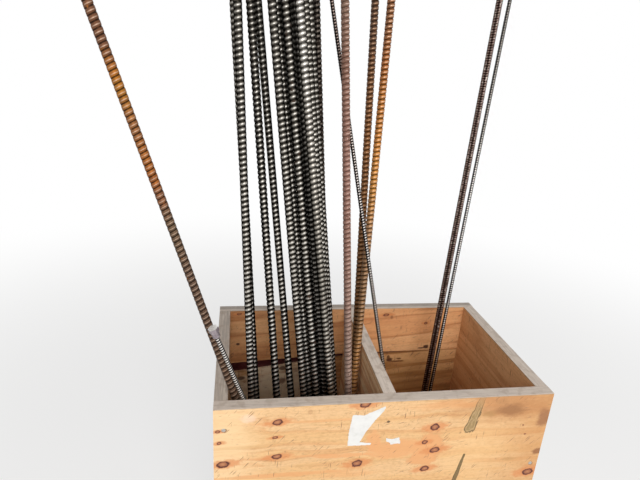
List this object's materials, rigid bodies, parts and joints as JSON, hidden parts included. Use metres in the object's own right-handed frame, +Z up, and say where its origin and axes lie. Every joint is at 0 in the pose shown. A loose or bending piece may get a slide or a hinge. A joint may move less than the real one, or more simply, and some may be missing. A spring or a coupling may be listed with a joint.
{
  "type": "rebar bundle",
  "caption": "Coarse-thread steel reinforcing bars and thin ribbed rods standing in a divided open timber bin.",
  "frame": {"origin": "centre of the bin's underside, in the plane that it stands on", "axes": "+X to the right along the bin's front board, +Y from the front board to the back, +Z up"},
  "size_m": [1.0867, 0.4536, 2.0235],
  "materials": {
    "bin_timber": "oiled three-layer softwood panel, knotty, with greyed upper edges",
    "film_faced_sheet": "plywood with a dark red-brown phenolic film",
    "dark_steel": "hot-rolled, dark mill scale with bright highlights",
    "brown_steel": "hot-rolled, brown flash rust over mill scale",
    "patchy_rust_steel": "hot-rolled, orange to brown rust in patches",
    "mauve_rust_steel": "hot-rolled, matt pink-brown rust",
    "orange_rust_steel": "hot-rolled, orange-brown rust with bare metal patches",
    "grey_rod_steel": "cold-ribbed, dull grey",
    "zinc_plate": "zinc plated, dulled"
  },
  "bodies": {
    "root": {"front_panel": "bin_timber", "back_board_upper": "bin_timber", "back_board_lower": "bin_timber", "left_panel": "bin_timber", "right_panel": "bin_timber", "divider": "bin_timber", "floor_panels": "bin_timber", "back_sheet": "film_faced_sheet", "dark_thread_bars": "dark_steel", "brown_thread_bar": "brown_steel", "leaning_rusty_bar": "patchy_rust_steel", "mauve_rusty_bar": "mauve_rust_steel", "orange_rusty_bars": "orange_rust_steel", "grey_ribbed_rod": "grey_rod_steel", "brown_ribbed_rods": "brown_steel", "threaded_rod": "zinc_plate", "hex_sleeve_nut": "zinc_plate"}
  },
  "joints": []
}
